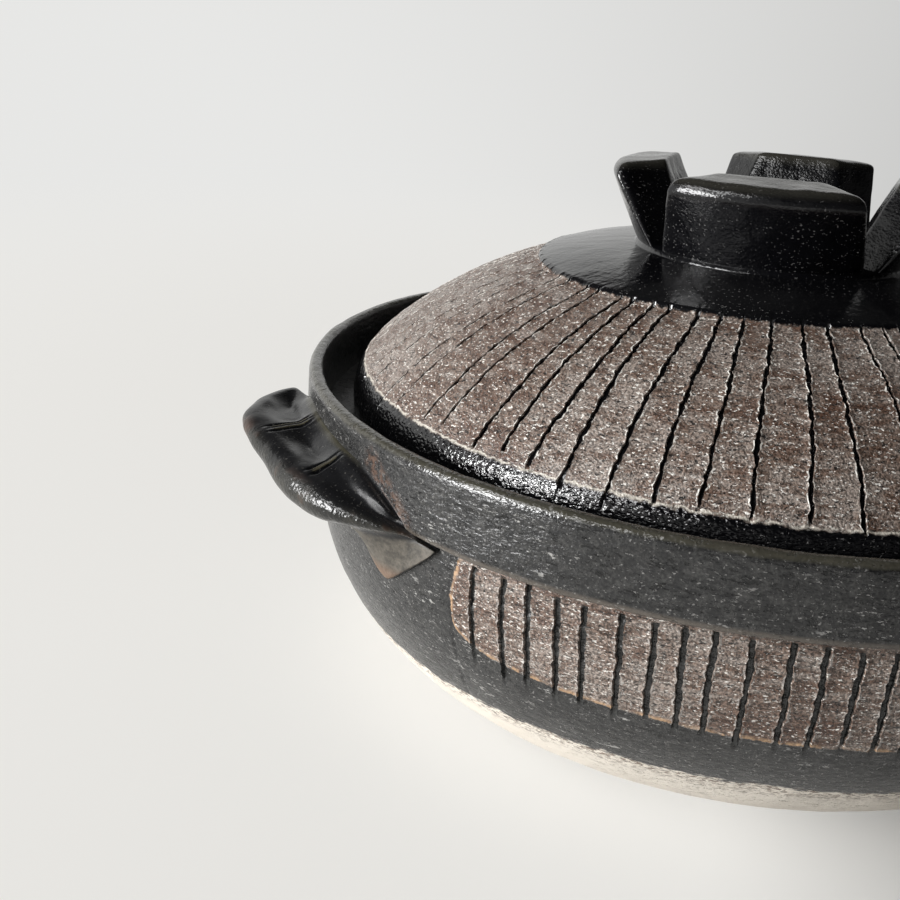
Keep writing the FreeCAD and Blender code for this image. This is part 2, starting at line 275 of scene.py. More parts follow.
def carveBowl(piece, columns):
    points = getPoints(piece)
    radius = np.hypot(points[:, 0], points[:, 1])
    turn = np.degrees(np.arctan2(points[:, 1], points[:, 0])) % 360
    column = np.rint(turn / (360 / len(columns))).astype(int) % len(columns)
    angle, line, place, sink = columns[column].T
    line = line.astype(int)
    z = points[:, 2]
    outside = radius > bellyRadius(z) - 4
    underCollar = z < bowl["rimHeight"] - bowl["collarHeight"] + 0.2
    wall = outside & underCollar & (z > bowl["driftFrom"][0])
    total = 2 * bowl["linesPerPanel"]
    drift = Wander(3, total, (29, 12, 5.3), (0.16, 0.07, 0.04)).at(line, z)
    leftEdge = Wander(4, total, (9.1, 4.3, 2.2), (0.14, 0.15, 0.15)).at(line, z)
    rightEdge = Wander(6, total, (7.9, 3.7, 2.0), (0.14, 0.15, 0.15)).at(line, z)
    rough = 1 + Wander(5, total, (11, 5.2, 2.9), (0.12, 0.12, 0.14)).at(line, z)
    draw = np.random.default_rng(7)
    lineLow = bowl["panelLow"] - draw.uniform(-1.5, 2.5, total)
    lineTop = bowl["lineTop"] - draw.uniform(0.0, 1.2, total)
    fade = smoothStep(lineLow[line] - 1, lineLow[line] + 4, z)
    fade = fade * smoothStep(lineTop[line], lineTop[line] - 1.2, z)
    fade = np.where(line % bowl["linesPerPanel"] > 0, fade, bowl["scratch"])
    shift = drift + place * bowl["lineHalf"] * np.where(place < 0, leftEdge, rightEdge)
    shift = np.where((line >= 0) & wall, shift, 0) * smoothStep(*bowl["driftFrom"], z)
    turned = np.radians(angle) + shift / np.maximum(radius, 1)
    points[:, 0] = radius * np.cos(turned)
    points[:, 1] = radius * np.sin(turned)
    carve = np.where((line >= 0) & wall, sink * fade * rough, 0)
    setPoints(piece, points)
    normals = getNormals(piece)
    setPoints(piece, points - normals * (carve * bowl["lineDepth"])[:, None])
    markPoints(piece, "carve", carve)
    # distance inside the carved panel, for the brown slip
    away = np.abs((np.degrees(turned) % 180) - 90)
    end = bowl["panelHalf"] - away
    low = bowl["panelLow"] + bowl["panelCorner"] / (1 + (np.maximum(end, 0) / 1.8) ** 0.6)
    perDegree = 2.2              # mm along the wall
    inside = np.minimum(z - low, end * perDegree - np.maximum(z - 58, 0) * 0.3)
    markPoints(piece, "panel", np.where(outside & underCollar, inside, -5))
    hollow = (radius < bowl["collarInside"] + 1.9) & (z > 69) | ~outside
    markPoints(piece, "hollow", hollow & (z > bowl["recessDepth"] + 0.5))


columns = bowlColumns()
potBowl = throwPiece("potBowl", bowlOutline(), len(columns))
carveBowl(potBowl, columns)
handMade(potBowl, 14, 0.55)
smoothShade(potBowl, 40)
print("bowl turned and carved:", len(potBowl.data.polygons), "faces")


# lid
lidLow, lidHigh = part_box("lid_dome")
lid = {
    "seat": lidLow.z / mm,
    "discTop": lidHigh.z / mm,
    "discRadius": 38.5,
    "discStep": 1.4,
    "patchRadius": 65.0,
    "patchStep": 1.2,
    "patchBulge": 2.6,
    "domeEdge": 114.0,
    "domeCentre": 49.87,         # dome is half an ellipse: 130 out, 78 up from this height
    "domeOut": 130.0,
    "domeUp": 78.0,
    "sideRadius": 117.2,
    # side, down from the dome: mm out from its edge and height, then mm in from the widest part and height
    "upperSide": ((0.3, 86.9), (1.2, 85.6), (2.1, 83.6)),
    "lowerSide": ((0.4, 81.3), (0, 78.8), (0, 76.4), (0.3, 74.3)),
    "seatInside": 109.0,
    "underRadius": 38.5,
    "underRise": 43.2,           # seat to the flat under the disc
    "firstLine": 194.4,
    # from line to line in degrees
    "lineSteps": (3.8, 6.7, 3.8, 4.8, 4.1, 6.0, 5.0, 5.1, 5.2, 6.3, 5.1, 7.0, 4.8),
    "lines": 69,
    "lineHalf": 0.41,
    "lineDepth": 0.8,
    "wornAngle": 178.0,          # lines are worn to dashes about here
    "wornSpread": 30.0,          # degrees to each side
    "pits": 0.03,
    "ventRadius": 5.0,
    "ventDistance": 56.0,
    "ventAngle": 57.0,
}


def domeHeight(r):
    return lid["domeCentre"] + lid["domeUp"] * np.sqrt(1 - (r / lid["domeOut"]) ** 2)


def lidOutline():
    disc, top = lid["discRadius"], lid["discTop"]
    patch, step = lid["patchRadius"], lid["patchStep"]
    edge, seat = lid["domeEdge"], lid["seat"]
    foot = top - lid["discStep"]
    patchEdge = float(domeHeight(patch)) + step
    points = [(0, top), (15, top), (30, top), (disc - 0.8, top), (disc - 0.1, top - 0.4), (disc + 0.4, foot)]
    for i in range(1, 13):
        s = i / 12
        r = disc + 0.4 + (patch - 1.2 - disc) * s
        points.append((r, foot + (patchEdge - foot) * s + lid["patchBulge"] * s * (1 - s)))
    points += [(patch + out, patchEdge - down) for out, down in ((0.1, 0.25), (0.6, 0.8), (0.9, 1.3))]
    points += [(r, float(domeHeight(r))) for r in np.linspace(patch + 1.5, edge - 0.6, 58)]
    rim = lid["sideRadius"]
    side = [(edge + out, height) for out, height in lid["upperSide"]]
    side += [(rim - back, height) for back, height in lid["lowerSide"]] + [(rim - 1.2, seat + 0.2)]
    points.append(side[0])
    for here, there in zip(side, side[1:]):
        points += straight(here, there, 2)
    points.append((rim - 2.4, seat))
    points += [(lid["seatInside"] + 1, seat), (lid["seatInside"] - 0.5, seat + 1)]
    inner, rise = lid["underRadius"], lid["underRise"]
    for i in range(1, 13):
        t = math.radians(90 * i / 13)
        out = inner + (lid["seatInside"] - 1 - inner) * math.cos(t)
        points.append((out, seat + 1.5 + (rise - 1.5) * math.sin(t)))
    points += [(inner, seat + rise), (20, seat + rise), (0, seat + rise)]
    return points


def lidColumns():
    # (line number, place across the line, sink, share of the way to the next line) for each column
    columns = []
    for number in range(lid["lines"]):
        columns += [(number, place, sink, 0) for place, sink in zip(linePlaces, lineSink)]
        columns += [(number, linePlaces[-1], 0, share) for share in (0.25, 0.5, 0.75)]
    return np.array(columns)


def carveLid(piece, columns):
    points = getPoints(piece)
    radius = np.hypot(points[:, 0], points[:, 1])
    turn = np.degrees(np.arctan2(points[:, 1], points[:, 0])) % 360
    column = np.rint(turn / (360 / len(columns))).astype(int) % len(columns)
    line, place, sink, share = columns[column].T
    line = line.astype(int)
    total = lid["lines"]
    lines = lineAngles(lid["firstLine"], lid["lineSteps"], total)
    z = points[:, 2]
    top = z > domeHeight(np.minimum(radius, 129)) - 5
    dome = top & (radius > lid["patchRadius"] - 1) & (radius < lid["domeEdge"] + 3)
    draw = np.random.default_rng(35)
    # lines on one side are worn thin and broken into dashes
    worn = np.clip(1 - np.abs((lines - lid["wornAngle"] + 180) % 360 - 180) / lid["wornSpread"], 0, 1) ** 0.8
    worn += draw.uniform(0, 0.15, total)
    drift = Wander(31, total, (47, 17, 6.3, 2.7), (0.24, 0.10, 0.05, 0.06))
    leftEdge = Wander(32, total, (8.3, 4.1, 1.9), (0.26, 0.26, 0.26)).at(line, radius)
    rightEdge = Wander(38, total, (9.7, 3.6, 1.7), (0.26, 0.26, 0.26)).at(line, radius)
    width = 1 - 0.45 * np.minimum(worn, 1)[line] + np.where(place < 0, leftEdge, rightEdge)
    rough = 1 + Wander(33, total, (13, 5.3, 2.7), (0.14, 0.14, 0.18)).at(line, radius)
    slant = draw.uniform(-0.025, 0.025, total)
    reach = np.maximum(radius, 1)

    def middle(number):
        return (slant[number] * (radius - 90) + drift.at(number, radius)) / reach

    following = (line + 1) % total
    here = np.radians(lines[line]) + middle(line)
    there = np.radians(lines[following] + 360 * (following == 0)) + middle(following)
    start = here + place * lid["lineHalf"] * np.maximum(width, 0.25) / reach
    end = there + linePlaces[0] * lid["lineHalf"] / reach
    turned = start + (end - start) * share
    # inside and outside the dome the columns go back to even steps
    even = np.radians(lid["firstLine"] + (column - linePlaces.index(0.0)) * 360 / len(columns))
    keep = smoothStep(48, 62, radius) * smoothStep(121, 116, radius) * top
    turned = even + (turned - even) * keep
    points[:, 0] = radius * np.cos(turned)
    points[:, 1] = radius * np.sin(turned)
    dash = Wander(36, total, (12, 5.7), (0.6, 0.5)).at(line, radius)
    wear = np.clip(1.6 - worn[line] * (0.9 + dash), 0, 1)
    tail = draw.uniform(-1.5, 1.5, total)
    fade = smoothStep(lid["patchRadius"] - 0.5, lid["patchRadius"] + 1.5, radius)
    fade = fade * smoothStep(lid["domeEdge"] + tail[line] + 0.8, lid["domeEdge"] + tail[line] - 1, radius)
    carve = np.where(dome, sink * fade * rough * wear, 0)
    setPoints(piece, points)
    normals = getNormals(piece)
    # the glaze on the side is full of small pits
    side = smoothStep(lid["domeEdge"] - 0.2, lid["domeEdge"] + 0.6, radius) * smoothStep(74, 77, z)
    pits = lid["pits"] * np.random.default_rng(37).normal(0, 1, len(z)) * side
    setPoints(piece, points - normals * (carve * lid["lineDepth"] + pits)[:, None])
    markPoints(piece, "carve", carve)


def cutVent(piece):
    clearSelection()
    turn = math.radians(lid["ventAngle"])
    place = Vector((math.cos(turn), math.sin(turn), 0)) * lid["ventDistance"] * mm
    through, middle = 0.06, 0.115        # metres
    bpy.ops.mesh.primitive_cylinder_add(vertices=48, radius=lid["ventRadius"] * mm, depth=through,
                                        location=place + Vector((0, 0, middle)))
    drill = bpy.context.object
    applyModifier(piece, "BOOLEAN", object=drill, operation="DIFFERENCE", solver="EXACT")
    bpy.data.objects.remove(drill)


columns = lidColumns()
lidDome = throwPiece("lidDome", lidOutline(), len(columns))
carveLid(lidDome, columns)
handMade(lidDome, 15, 0.5)
cutVent(lidDome)
smoothShade(lidDome, 40)
print("lid turned and carved:", len(lidDome.data.polygons), "faces")


# ears
ear = {
    "collar": bowl["rimRadius"],
    "wall": bowl["rimRadius"] - bowl["collarOverhang"],
    "collarLow": bowl["rimHeight"] - bowl["collarHeight"],
    "far": -12.5,                # blunt end and tapered end, degrees from the ear's middle
    "near": 27.0,
    # drawn along the ear: degrees, mm
    "reach": ((-12.5, 0), (-11.7, 6), (-10.3, 10.4), (-8.3, 14.4), (-4.7, 18.6), (-2.5, 19), (0, 18.2),
              (3, 17), (6, 16.4), (10, 15.4), (14, 13.4), (17.4, 10.8), (21, 5.6), (23.5, 0.8), (27, -1)),
    "contact": ((-12.5, 80), (-7, 81.2), (-2, 81.6), (4.4, 80.3), (10.5, 79.6), (13, 79.9), (16, 78.8),
                (18.8, 76), (21.3, 72.3), (23.4, 69.8), (27, 66.5)),
    "pan": ((-12.5, 79.7), (-11.2, 80), (-7.5, 77.3), (-3, 77.5), (0.7, 79), (4.8, 76.2), (7.5, 76),
            (9, 76.3), (11.2, 77.4), (15, 75.8), (19, 73.2), (21.3, 71), (23.4, 69), (27, 66.5)),
    "lipTop": ((-12.5, 79.6), (-8, 79.8), (-3, 79.3), (0, 78.6), (6, 77), (12, 75.6), (17.4, 73.3),
               (21, 70.6), (24, 68.5), (27, 66.5)),
    "thick": ((-12.5, 0.8), (-8, 4.2), (0, 7), (8, 10.4), (13, 10), (16, 7.8), (19, 5), (22, 2.2),
              (24, 0.8), (27, 0.5)),
    # stretches of the way round a section: start, length
    "section": {"top": (0, 0.34), "lip": (0.34, 0.24), "under": (0.58, 0.27), "edge": (0.85, 0.06),
                "root": (0.91, 0.09)},
    "smear": 5.0,                # how far the clay smeared up the collar reaches out
    "panMiddle": 9.0,            # mm out from the collar
    "lipRound": 5.0,
    "crease": 1.0,               # groove where the ear meets the collar
    "under": 1.5,
    "tail": 15.0,
    "tailFrom": 0.33,            # shares of the way to an end: the tail starts, and is deepest
    "tailAt": 0.70,
    "sunk": 1.5,                 # ear's root inside the collar
    "leaf": 1.9,                 # thickness of the tail's edge
    # pressed double lines: degrees, mm from the middle to each groove
    "scores": ((0.7, 1.6), (11.2, 1.2)),
    "curl": 5.2,                 # degrees that the blunt end bends back at the collar
    "scoreSlant": 0.05,          # degrees for each mm outwards
    "scoreDepth": 0.65,
    "around": 60,
}


def earStations():
    # places along the ear in degrees, close together at the pressed lines
    perDegree = math.radians(1) * (ear["collar"] + ear["panMiddle"])
    places = np.concatenate([ear["far"] + np.linspace(0, 1.2, 7),
                             np.linspace(ear["far"] + 1.6, ear["near"], 78)])
    offsets = np.linspace(-4, 4, 29)
    for score, _ in ear["scores"]:
        places = places[np.abs(places - score) > 1.75]
        places = np.concatenate([places, score + offsets / perDegree])
    return np.sort(places)


def tailDepth(share):
    rising = smoothStep(ear["tailFrom"], ear["tailAt"], share)
    falling = np.clip((1 - share) / (1 - ear["tailAt"]), 0, 1)
    return np.where(share < ear["tailAt"], rising, falling ** 0.85)


def stretch(u, part):
    # how much of a part of the section lies behind u, and whether u has reached it
    start, length = ear["section"][part]
    return np.clip((u - start) / length, 0, 1), u > start


def earSection(u, degrees):
    # u goes once round the section: radius and height
    share = np.where(degrees < 0, degrees / ear["far"], degrees / ear["near"])
    reach = drawnLine(ear["reach"], degrees, 0.6)
    contact = drawnLine(ear["contact"], degrees, 2)
    pan = drawnLine(ear["pan"], degrees, 1.2)
    lipTop = drawnLine(ear["lipTop"], degrees, 2)
    thick = drawnLine(ear["thick"], degrees, 1.5)
    lipRound = ear["lipRound"] * (1 - 0.8 * share ** 3)
    root = ear["wall"] - ear["sunk"]
    lipIn = ear["collar"] + reach - lipRound
    low = ear["collarLow"] - ear["under"] - ear["tail"] * tailDepth(share)
    wallLow = bellyRadius(low)
    # top: smeared up the collar, a dished pan, and up again to the lip
    s, _ = stretch(u, "top")
    radius = root + (lipIn - root) * s
    away = radius - ear["collar"]
    out = np.clip(away / np.maximum(lipIn - ear["collar"], 1), 0, 1)
    height = contact + (pan - contact) * np.clip(away / ear["smear"], 0, 1)
    height = height + (lipTop - height) * smoothStep(0.45, 1, out)
    height -= ear["crease"] * np.exp(-((away - 0.5) / 0.9) ** 2) * smoothStep(8, 16, degrees)
    # lip
    s, onLip = stretch(u, "lip")
    turn = np.pi / 2 - np.pi * s
    radius = np.where(onLip, lipIn + lipRound * np.cos(turn), radius)
    height = np.where(onLip, lipTop - thick / 2 + thick / 2 * np.sin(turn), height)
    # underside down to the tail's edge
    s, onUnder = stretch(u, "under")
    edge = wallLow + ear["leaf"]
    radius = np.where(onUnder, lipIn + (edge - lipIn) * s ** 0.8, radius)
    height = np.where(onUnder, lipTop - thick + (low - lipTop + thick) * s ** 1.5, height)
    # edge of the tail, then back up inside the wall
    s, onEdge = stretch(u, "edge")
    radius = np.where(onEdge, edge - (ear["leaf"] + 1.5) * s, radius)
    height = np.where(onEdge, low - 0.3 * s, height)
    s, onRoot = stretch(u, "root")
    radius = np.where(onRoot, wallLow - 1.5 + (root - wallLow + 1.5) * s, radius)
    height = np.where(onRoot, low - 0.3 + (contact - low + 0.3) * s, height)
    return radius, height


def makeEar(name, facing):
    clearSelection()
    stations = earStations()
    bpy.ops.mesh.primitive_grid_add(x_subdivisions=ear["around"], y_subdivisions=len(stations) - 1, size=2)
    piece = bpy.context.object
    piece.name = name
    flat = getPoints(piece) * mm
    u = (flat[:, 0] + 1) / 2
    degrees = stations[np.rint((flat[:, 1] + 1) / 2 * (len(stations) - 1)).astype(int)]
    radius, height = earSection(u, degrees)
    # pressed double lines across the pan
    away = radius - ear["collar"]
    onTop = smoothStep(1.5, 3.5, away) * smoothStep(0.37, 0.31, u)
    outwards = np.clip(away, 0, 16) - ear["panMiddle"]
    groove, ridge, lean = np.zeros_like(u), np.zeros_like(u), np.zeros_like(u)
    for score, gap in ear["scores"]:
        across = np.radians(degrees - score) * (ear["collar"] + ear["panMiddle"])
        groove += np.exp(-((np.abs(across) - gap) / 0.4) ** 2)
        ridge += np.exp(-((np.abs(across) - gap + 0.85) / 0.42) ** 2)
        lean += ear["scoreSlant"] * outwards * np.exp(-(across / 8) ** 2)
    height += onTop * (0.25 * ridge - ear["scoreDepth"] * groove)
    lean += ear["curl"] * smoothStep(4, -0.5, away) * smoothStep(-5, ear["far"], degrees)
    turned = np.radians(degrees + lean + facing)
    setPoints(piece, np.stack([radius * np.cos(turned), radius * np.sin(turned), height], 1))
    smeared = np.exp(-((away - 0.4) / 0.6) ** 2) * (u < 0.3) * smoothStep(16, 10, degrees)
    markPoints(piece, "score", onTop * ridge)
    markPoints(piece, "smear", smeared)
    markPoints(piece, "lip", smoothStep(0.36, 0.46, u) * smoothStep(0.66, 0.56, u))
    markPoints(piece, "tail", smoothStep(0.60, 0.72, u) * smoothStep(0.86, 0.85, u))
    pick(piece)
    bpy.ops.object.mode_set(mode="EDIT")
    bpy.ops.mesh.select_all(action="SELECT")
    bpy.ops.mesh.remove_doubles(threshold=weldGap)
    bpy.ops.mesh.select_all(action="DESELECT")
    bpy.ops.mesh.select_non_manifold()
    bpy.ops.mesh.fill()
    bpy.ops.object.mode_set(mode="OBJECT")
    closeMesh(piece)
    handMade(piece, 12, 0.8)
    applyModifier(piece, "SUBSURF", levels=1, render_levels=1)
    smoothShade(piece, 50)
    return piece


earLeft = makeEar("earLeft", 180)
earRight = makeEar("earRight", 0)
print("ears formed:", len(earLeft.data.polygons), "faces each")


# knob lugs
lug = {
    "seat": lid["discTop"],
    "sunk": 2.6,
    "baseRadius": 37.0,
    "topRadius": 47.0,
    "outerHeight": 21.0,
    "innerHeight": 22.2,
    "innerBase": 20.0,
    "innerTop": 31.0,
    "notchBase": 1.3,
    "notchTop": 12.6,
    "roundDrops": (0.2, 3.0, 3.4, 3.0),      # worn outer edge of each lug
    "roundFrom": 0.74,
    "cornerDrop": 0.7,
    "cornerFrom": 0.82,
    "cuts": 24,
    "rounding": 4,               # rounds of smoothing
    # back, left, front, right: degrees from notch to notch
    "spans": ((7, 93), (99.6, 183.5), (184.5, 279.6), (279.6, 363)),
}


def makeLug(number, start, end):
    clearSelection()
    bpy.ops.mesh.primitive_cube_add(size=2)
    piece = bpy.context.object
    piece.name = f"knobLug{number + 1}"
    bpy.ops.object.mode_set(mode="EDIT")
    bpy.ops.mesh.select_all(action="SELECT")
    bpy.ops.mesh.subdivide(number_cuts=lug["cuts"])
    bpy.ops.object.mode_set(mode="OBJECT")
    x, u, w = (getPoints(piece) * mm).T
    v, w = (x + 1) / 2, (w + 1) / 2
    rise = lug["outerHeight"] + (lug["innerHeight"] - lug["outerHeight"]) * (1 - v)
    worn = np.clip((v - lug["roundFrom"]) / (1 - lug["roundFrom"]), 0, 1)
    rise -= lug["roundDrops"][number] * (1 - np.sqrt(1 - worn ** 2))
    rise -= lug["cornerDrop"] * np.clip((np.abs(u) - lug["cornerFrom"]) / (1 - lug["cornerFrom"]), 0, 1) ** 2
    z = lug["seat"] - lug["sunk"] + (rise + lug["sunk"]) * w
    outer = lug["baseRadius"] + (lug["topRadius"] - lug["baseRadius"]) * w
    inner = lug["innerBase"] + (lug["innerTop"] - lug["innerBase"]) * w
    notch = lug["notchBase"] + (lug["notchTop"] - lug["notchBase"]) * w
    halfAngle = math.radians(end - start) / 2
    outerTurn = halfAngle - np.arcsin(notch / outer)
    innerHalf = inner * math.tan(halfAngle) - notch / math.cos(halfAngle)
    outerX, outerY = outer * np.cos(u * outerTurn), outer * np.sin(u * outerTurn)
    px = inner + (outerX - inner) * v
    py = u * innerHalf + (outerY - u * innerHalf) * v
    setPoints(piece, np.stack([px, py, z], 1))
    applyModifier(piece, "SMOOTH", factor=0.5, iterations=lug["rounding"])
    applyModifier(piece, "SUBSURF", levels=1, render_levels=1)
    piece.data.transform(Matrix.Rotation(math.radians(start + end) / 2, 4, "Z"))
    handMade(piece, 10, 0.6)
    smoothShade(piece, 60)
    return piece


lugs = [makeLug(number, start, end) for number, (start, end) in enumerate(lug["spans"])]
print("knob lugs cut:", len(lugs[0].data.polygons), "faces each")


# node helpers for the finishes and the studio

class Nodes:
    def __init__(self, tree, coords):
        self.tree = tree
        self.coords = self.add("ShaderNodeTexCoord").outputs[coords]

    def add(self, kind, inputs=(), **settings):
        node = self.tree.nodes.new(kind)
        for key, value in settings.items():
            setattr(node, key, value)
        for key, value in dict(inputs).items():
            self.plug(node.inputs[key], value)
        return node

    def plug(self, socket, value):
        if isinstance(value, bpy.types.NodeSocket):
            self.tree.links.new(value, socket)
        else:
            socket.default_value = value

    def maths(self, operation, a, b=0.0, c=0.0):
        return self.add("ShaderNodeMath", {0: a, 1: b, 2: c}, operation=operation).outputs[0]

    def times(self, *values):
        result = values[0]
        for value in values[1:]:
            result = self.maths("MULTIPLY", result, value)
        return result

    def most(self, *values):
        result = values[0]
        for value in values[1:]:
            result = self.maths("MAXIMUM", result, value)
        return result

    def without(self, value):
        return self.maths("SUBTRACT", 1.0, value)

    def vector(self, operation, a, b=(0, 0, 0)):
        node = self.add("ShaderNodeVectorMath", {0: a, 1: b}, operation=operation)
        return node.outputs["Value" if operation in ("LENGTH", "DOT_PRODUCT") else "Vector"]

    def step(self, value, low, high):
        node = self.add("ShaderNodeMapRange", {"Value": value, "From Min": low, "From Max": high},
                        interpolation_type="SMOOTHSTEP")
        return node.outputs["Result"]

    def noise(self, scale, detail=2.0, rough=0.5, coords=None):
        return self.add("ShaderNodeTexNoise", {"Vector": coords or self.coords, "Scale": scale,
                        "Detail": detail, "Roughness": rough}).outputs["Fac"]

    def stretched(self, x, y, z):
        return self.vector("MULTIPLY", self.coords, (x, y, z))

    def ramp(self, value, stops):
        node = self.add("ShaderNodeValToRGB", {"Fac": value})
        marks = node.color_ramp.elements
        while len(marks) < len(stops):
            marks.new(0.5)
        for mark, (place, colour) in zip(marks, stops):
            mark.position = place
            mark.color = (*colour, 1)
        return node.outputs["Color"]

    def blend(self, share, a, b):
        node = self.add("ShaderNodeMix", data_type="RGBA")
        self.plug(node.inputs["Factor"], share)
        for socket, value in ((node.inputs[6], a), (node.inputs[7], b)):
            self.plug(socket, value if isinstance(value, bpy.types.NodeSocket) else (*value, 1))
        return node.outputs[2]

    def either(self, share, a, b):
        return self.add("ShaderNodeMix", {"Factor": share, 2: a, 3: b}, data_type="FLOAT").outputs[0]

    def attribute(self, name):
        return self.add("ShaderNodeAttribute", attribute_name=name).outputs["Fac"]

    def axis(self, name):
        return self.add("ShaderNodeSeparateXYZ", {"Vector": self.coords}).outputs[name]

    def fromAxis(self):
        return self.vector("LENGTH", self.vector("MULTIPLY", self.coords, (1, 1, 0)))

    def fromLine(self, coords, start, end):
        # distance from a straight line between two points
        run = Vector(end) - Vector(start)
        away = self.vector("SUBTRACT", coords, start)
        along = self.maths("DIVIDE", self.vector("DOT_PRODUCT", away, tuple(run)), run.length_squared)
        along = self.maths("MINIMUM", self.maths("MAXIMUM", along, 0.0), 1.0)
        nearest = self.add("ShaderNodeVectorMath", {0: tuple(run), "Scale": along}, operation="SCALE")
        return self.vector("LENGTH", self.vector("SUBTRACT", away, nearest.outputs[0]))


reliefDepth = 0.0003             # metres that a bump of 1 stands for


class Finish(Nodes):
    def __init__(self, name, ior=1.5):
        self.material = bpy.data.materials.new(name)
        self.material.use_nodes = True
        super().__init__(self.material.node_tree, "Object")
        self.shader = self.tree.nodes["Principled BSDF"]
        self.shader.inputs["IOR"].default_value = ior

    def shade(self, colour, factor):
        return self.add("ShaderNodeVectorMath", {0: colour, "Scale": factor}, operation="SCALE").outputs[0]

    def close(self, colour, roughness, height):
        bump = self.add("ShaderNodeBump", {"Height": height, "Distance": reliefDepth, "Strength": 1.0})
        self.plug(self.shader.inputs["Base Color"], colour)
        self.plug(self.shader.inputs["Roughness"], roughness)
        self.plug(self.shader.inputs["Normal"], bump.outputs[0])
        return self.material


def brownSlip(f):
    # speckled brown stoneware: fine streaks from the wheel, dark pits, pale grains
    bands = f.noise(150, 3, 0.6, f.stretched(1, 1, 5))
    streak = f.maths("MULTIPLY_ADD", bands, 0.6, f.times(f.noise(34, 2, 0.5), 0.4))
    grain = f.noise(1900, 1.5, 0.6)
    base = f.ramp(streak, [(0.40, (0.088, 0.047, 0.031)), (0.49, (0.152, 0.106, 0.082)),
                           (0.59, (0.250, 0.208, 0.180))])
    base = f.shade(base, f.maths("MULTIPLY_ADD", f.step(grain, 0.32, 0.68), 1.30, 0.42))
    drawnOut = f.stretched(1, 1, 3)
    pits = f.step(f.noise(640, 3, 0.68, drawnOut), 0.405, 0.345)
    pale = f.step(f.noise(900, 2.5, 0.65, drawnOut), 0.60, 0.64)
    colour = f.blend(pale, base, (0.88, 0.85, 0.79))
    return f.blend(pits, colour, (0.016, 0.012, 0.010)), f.maths("SUBTRACT", grain, pits)


def crumbsAndHighlight(f, carve):
    # pale broken clay along both edges of a carved line, partly a painted highlight on the raised burr
    return f.times(f.step(carve, -0.01, -0.07), f.step(f.noise(480, 3, 0.7), 0.50, 0.57))


def blackGlaze(f):
    # glossy black with fine pale specks painted as glints, thicker in some places
    paintedGlints = f.step(f.noise(1350, 1, 0.5, f.stretched(1, 1, 1.4)), 0.665, 0.73)
    paintedGlints = f.times(paintedGlints, f.step(f.noise(45, 2, 0.5), 0.36, 0.62), 0.32)
    return f.blend(paintedGlints, (0.0032, 0.0032, 0.0040), (0.42, 0.41, 0.40))


def charcoalGlaze(f):
    # duller black of the wall, mottled, with small level nicks in the bump; the pale colour on the nicks and
    # specks is painted glints
    level = f.noise(230, 4, 0.8, f.stretched(1, 1, 3))
    nicksAndGlints = f.times(f.step(level, 0.600, 0.635), f.step(f.noise(40, 3, 0.6), 0.40, 0.62))
    pits = f.step(level, 0.415, 0.375)
    paintedGlints = f.step(f.noise(1050, 2, 0.6, f.stretched(1, 1, 1.5)), 0.63, 0.70)
    mottle = f.maths("MULTIPLY_ADD", f.noise(1500, 2, 0.6), 0.5, f.times(f.noise(420, 3, 0.65), 0.5))
    tone = f.ramp(mottle, [(0.36, (0.005, 0.005, 0.006)), (0.50, (0.017, 0.017, 0.017)),
                           (0.64, (0.050, 0.049, 0.047))])
    tone = f.blend(pits, tone, (0.003, 0.003, 0.003))
    # painted glints: pale colour on the nicks and specks
    tone = f.blend(f.most(f.times(nicksAndGlints, 0.85), f.times(paintedGlints, 0.4)), tone, (0.46, 0.45, 0.43))
    return tone, f.maths("SUBTRACT", nicksAndGlints, pits)


# where the bowl's glaze changes, in metres, from none to all of it
bowlLook = {
    "warmStart": (0.1246, 0.0372, 0.0812),
    "warmEnd": (0.1203, 0.0493, 0.0709),
    "warmReach": (0.0046, 0.0008),
    "collarLine": ((0.0678, 0.0682), (0.0702, 0.0690)),
    "olive": (0.0858, 0.0868),
    "glossyRim": (0.0848, 0.0855),
    "bare": (0.0288, 0.0280),
    "brushed": 0.0055,           # how far the brush wandered
    "streaks": (0.0195, 0.0250),
    "rough": {"wall": 0.27, "slip": 0.45, "bare": 0.75, "rim": 0.13, "inside": 0.35},
}


